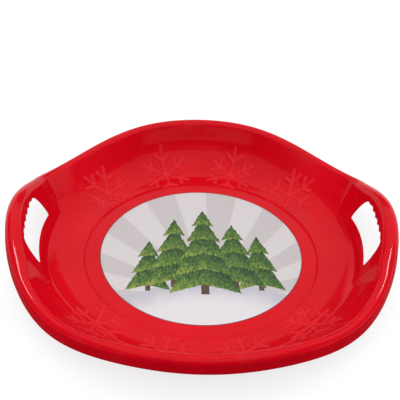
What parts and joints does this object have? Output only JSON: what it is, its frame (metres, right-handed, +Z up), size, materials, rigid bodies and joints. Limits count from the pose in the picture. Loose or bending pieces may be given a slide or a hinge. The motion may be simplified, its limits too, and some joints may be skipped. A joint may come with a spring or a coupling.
{
  "type": "saucer sled",
  "caption": "Round moulded plastic snow sled with a rolled wavy rim, a raised grip bar over a finger slot on each side, raised snowflakes round the floor and a printed label in the middle.",
  "frame": {"origin": "on the ground under the middle of the sled", "axes": "+X through one grip bar, +Y to the back, +Z up out of the dish"},
  "size_m": [0.6, 0.588, 0.0975],
  "materials": {
    "moulded_plastic": "glossy red, moulded",
    "printed_label": "satin printed film"
  },
  "bodies": {
    "root": {"sled_dish": "moulded_plastic", "centre_label": "printed_label"}
  },
  "joints": []
}
